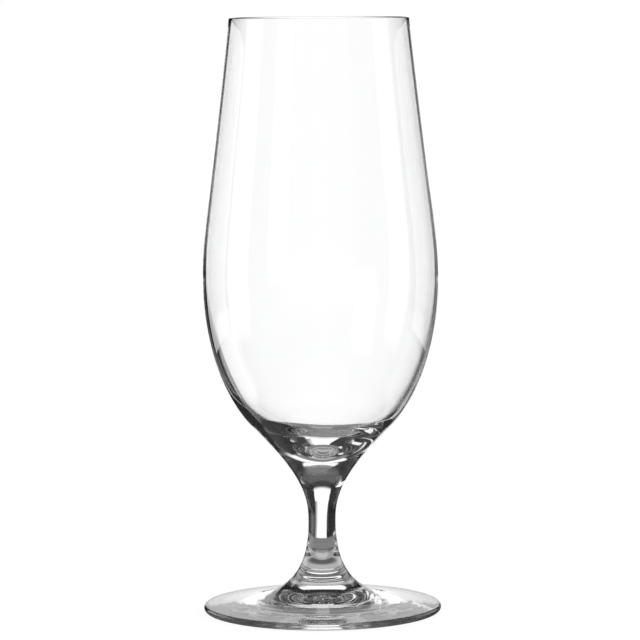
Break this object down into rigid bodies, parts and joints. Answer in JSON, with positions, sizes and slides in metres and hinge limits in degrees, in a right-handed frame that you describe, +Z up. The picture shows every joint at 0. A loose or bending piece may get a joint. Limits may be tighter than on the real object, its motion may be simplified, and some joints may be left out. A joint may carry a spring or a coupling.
{
  "type": "stemmed beer glass",
  "caption": "Clear stemmed beer glass: a tall thin-walled tulip bowl drawn in at the rim, a short waisted stem and a round flared foot to stand on.",
  "frame": {"origin": "centre of the foot, on the surface that the glass stands on", "axes": "+Z up along the glass's axis of revolution, from the foot to the rim; X and Y are alike"},
  "size_m": [0.081, 0.081, 0.202],
  "materials": {
    "clear_glass": "clear, colourless, fire-polished"
  },
  "bodies": {
    "root": {"bowl": "clear_glass", "stem": "clear_glass", "foot": "clear_glass"}
  },
  "joints": []
}
